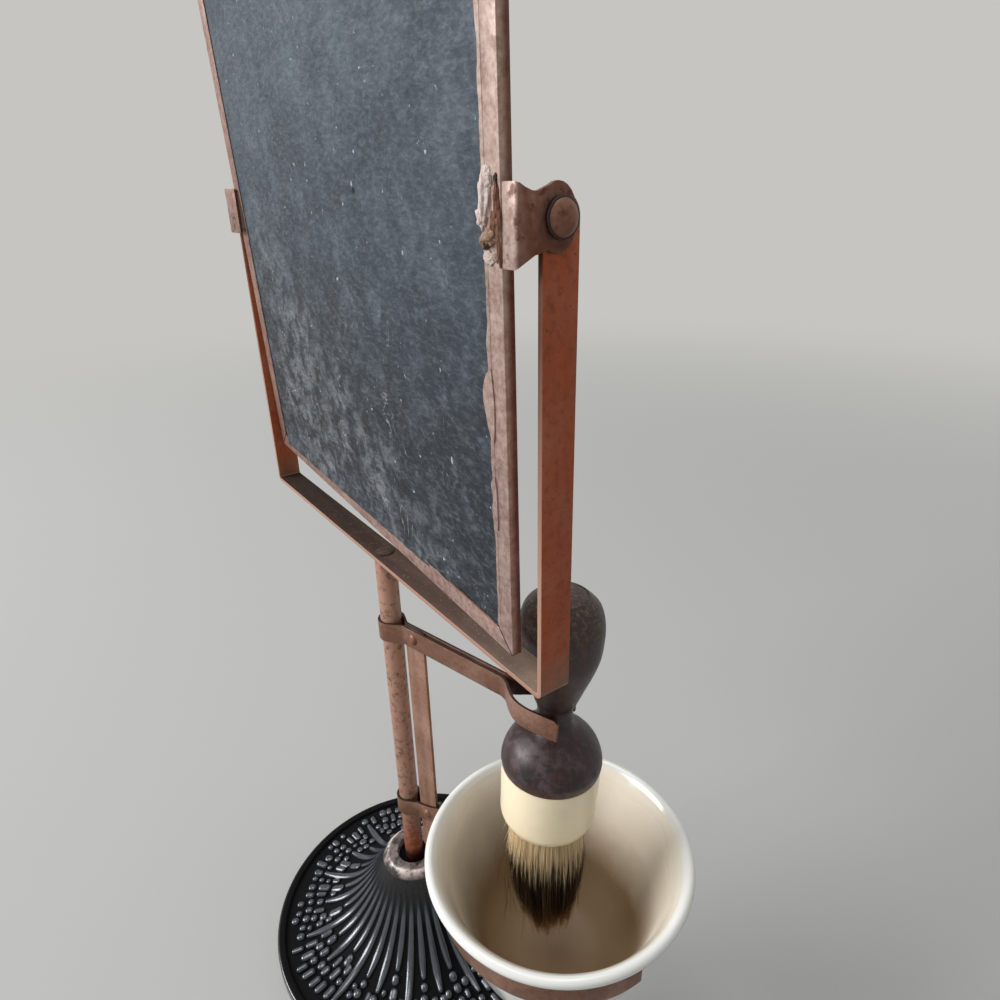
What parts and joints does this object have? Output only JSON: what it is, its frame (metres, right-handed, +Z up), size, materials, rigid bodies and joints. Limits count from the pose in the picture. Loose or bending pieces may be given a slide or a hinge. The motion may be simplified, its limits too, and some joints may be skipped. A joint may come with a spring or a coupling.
{
  "type": "shaving stand",
  "caption": "Table shaving stand: flared round iron base, rod post, strip yoke with tilting framed mirror, swivel bracket holding a cup and a hanging brush.",
  "frame": {"origin": "centre of the base on the surface it stands on", "axes": "+Z up along the post, the mirror faces -Y at rest, +X towards the far arm of the yoke, and the bracket reaches out towards -X"},
  "size_m": [0.2231, 0.1314, 0.4169],
  "materials": {
    "base_iron": "gloss black japanned cast iron, worn on the boss",
    "fixing_steel": "dark tarnished steel",
    "rod_copper": "worn copper-coloured brass rod",
    "strip_copper": "worn plated brass strip, dark on the inner faces",
    "rivet_copper": "domed copper-coloured rivet",
    "frame_copper": "folded thin brass channel, worn",
    "silvered_glass": "clear silvered plate glass",
    "black_card": "black pebbled leathercloth on card, scuffed",
    "ear_copper": "bent brass ear, worn",
    "solder": "dull lead solder",
    "strap_copper": "worn copper-coloured strap",
    "glazed_china": "white glazed china, opaque",
    "dark_rosewood": "polished dark rosewood",
    "aged_bone": "polished cream bone",
    "badger_hair": "banded badger hair"
  },
  "bodies": {
    "stand": {"base_casting": "base_iron", "base_washer": "fixing_steel", "base_nut": "fixing_steel", "post": "rod_copper"},
    "yoke": {"yoke": "strip_copper", "pivot_rivet_near": "rivet_copper", "pivot_rivet_far": "rivet_copper", "pivot_washer_near": "fixing_steel", "pivot_washer_far": "fixing_steel"},
    "mirror": {"frame_rail_near": "frame_copper", "frame_rail_far": "frame_copper", "frame_rail_top": "frame_copper", "frame_rail_bottom": "frame_copper", "mirror_glass": "silvered_glass", "back_card": "black_card", "ear_near": "ear_copper", "ear_far": "ear_copper", "ear_solder_near": "solder", "ear_solder_far": "solder"},
    "bracket": {"upper_strap": "strap_copper", "lower_strap": "strap_copper", "riser_strap": "strap_copper", "upper_rivet": "rivet_copper", "lower_rivet": "rivet_copper"},
    "cup": {"cup": "glazed_china"},
    "brush": {"brush_handle": "dark_rosewood", "brush_ferrule": "aged_bone", "brush_knot": "badger_hair"}
  },
  "joints": [
    {"name": "yoke_swivel", "type": "hinge", "parent": "stand", "child": "yoke", "pos_m": [0, 0, 0.1917], "axis": [0, 0, 1], "range_deg": [-75, 0]},
    {"name": "mirror_tilt", "type": "hinge", "parent": "yoke", "child": "mirror", "pos_m": [0, 0.0012, 0.3082], "axis": [1, 0, 0], "range_deg": [-2.5, 95]},
    {"name": "bracket_swivel", "type": "hinge", "parent": "stand", "child": "bracket", "pos_m": [0, 0, 0.116], "axis": [0, 0, 1], "range_deg": [0, 75]},
    {"name": "cup_lift", "type": "slide", "parent": "bracket", "child": "cup", "axis": [0, 0, 1], "range_m": [0, 0.012]},
    {"name": "brush_unclip", "type": "slide", "parent": "bracket", "child": "brush", "axis": [-0.969, -0.247, 0], "range_m": [0, 0.016]}
  ]
}
